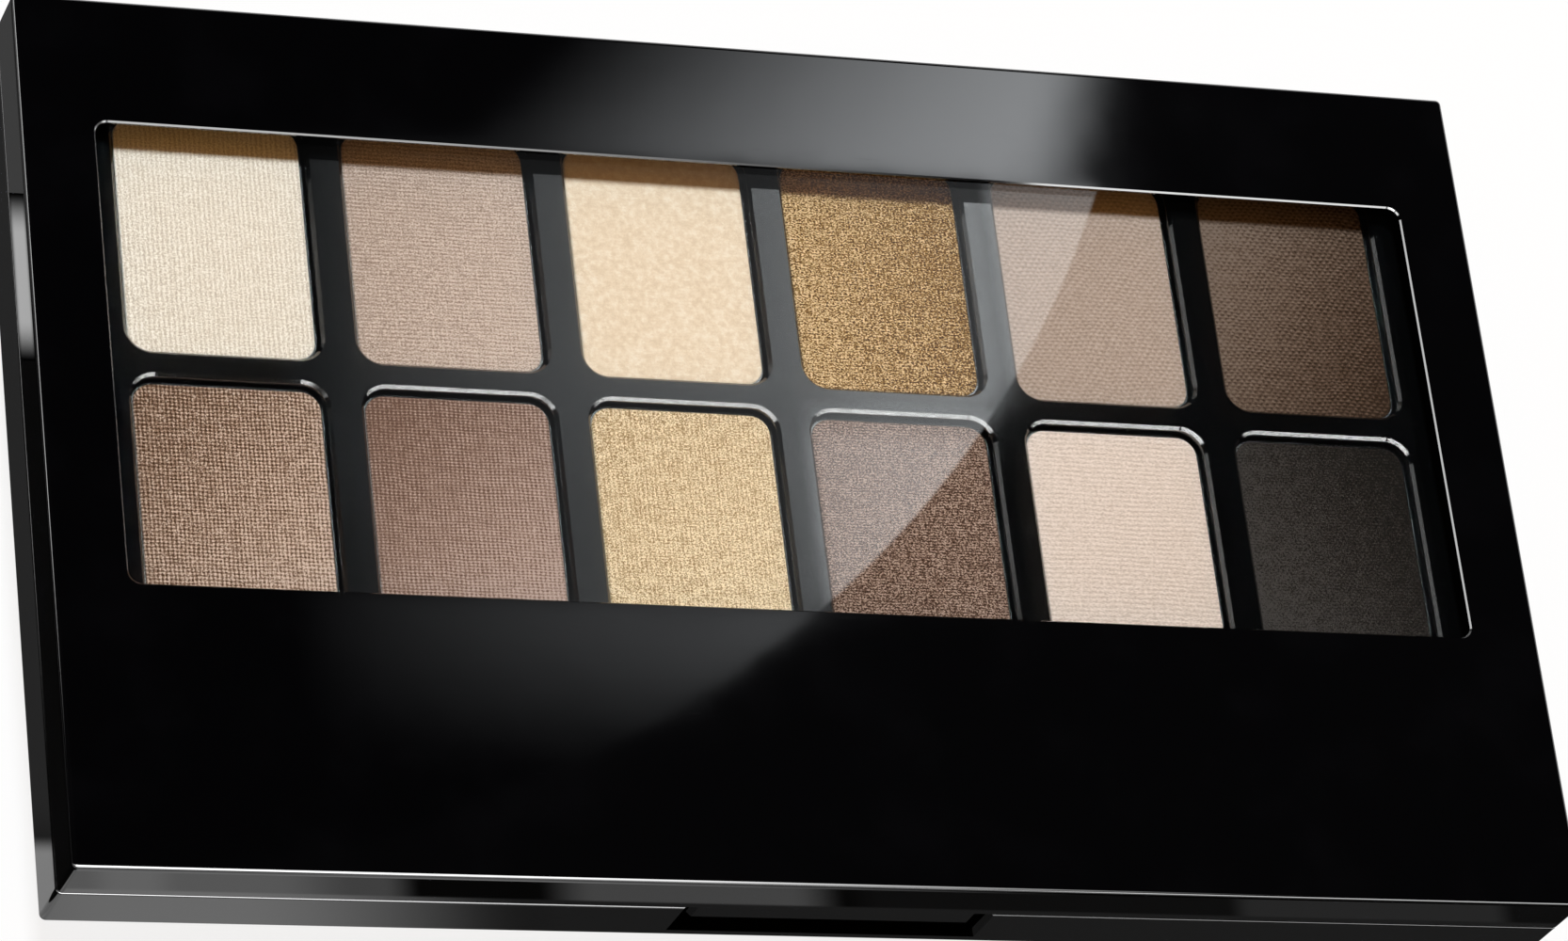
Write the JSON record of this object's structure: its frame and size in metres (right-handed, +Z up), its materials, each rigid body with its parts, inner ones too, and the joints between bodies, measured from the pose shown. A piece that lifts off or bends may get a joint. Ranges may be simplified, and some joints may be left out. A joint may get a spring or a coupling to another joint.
{
  "type": "eyeshadow palette",
  "caption": "Flat hinged make-up case with a clear window lid, pressed powders in metal pans on an inner tray, and a sponge applicator in a front trough.",
  "frame": {"origin": "centre of the base shell's underside outline, in the plane it stands on", "axes": "+Z up, +X along the case to the right seen from the front, +Y towards the hinge at the back"},
  "size_m": [0.126, 0.0765, 0.0105],
  "materials": {
    "case_black": "polished black moulded plastic",
    "window_clear": "clear polished plastic sheet",
    "tray_black": "satin black moulded plastic",
    "pan_metal": "bright stamped metal",
    "pin_steel": "drawn steel wire",
    "handle_black": "polished black moulded plastic",
    "sponge_foam": "fine open-cell latex foam",
    "powder_champagne": "shimmer pressed powder",
    "powder_rose_taupe": "satin pressed powder",
    "powder_peach_cream": "satin pressed powder",
    "powder_bronze_gold": "metallic glitter pressed powder",
    "powder_pink_taupe": "matte pressed powder",
    "powder_dark_brown": "matte pressed powder",
    "powder_bronze_brown": "shimmer pressed powder",
    "powder_taupe_brown": "matte pressed powder",
    "powder_gold": "shimmer pressed powder",
    "powder_plum_brown": "metallic pressed powder",
    "powder_pink_beige": "matte pressed powder",
    "powder_black": "matte pressed powder"
  },
  "bodies": {
    "base": {"base_shell": "case_black", "pan_tray": "tray_black", "hinge_pin_left": "pin_steel", "hinge_pin_right": "pin_steel", "applicator_handle": "handle_black", "sponge_tip_left": "sponge_foam", "sponge_tip_right": "sponge_foam", "pan_01": "pan_metal", "pan_02": "pan_metal", "pan_03": "pan_metal", "pan_04": "pan_metal", "pan_05": "pan_metal", "pan_06": "pan_metal", "pan_07": "pan_metal", "pan_08": "pan_metal", "pan_09": "pan_metal", "pan_10": "pan_metal", "pan_11": "pan_metal", "pan_12": "pan_metal", "powder_01": "powder_champagne", "powder_02": "powder_rose_taupe", "powder_03": "powder_peach_cream", "powder_04": "powder_bronze_gold", "powder_05": "powder_pink_taupe", "powder_06": "powder_dark_brown", "powder_07": "powder_bronze_brown", "powder_08": "powder_taupe_brown", "powder_09": "powder_gold", "powder_10": "powder_plum_brown", "powder_11": "powder_pink_beige", "powder_12": "powder_black"},
    "lid": {"lid_frame": "case_black", "window_pane": "window_clear"}
  },
  "joints": [
    {"name": "lid_hinge", "type": "hinge", "parent": "base", "child": "lid", "pos_m": [0, 0.03755, 0.0055], "axis": [-1, 0, 0], "range_deg": [0, 180]}
  ]
}
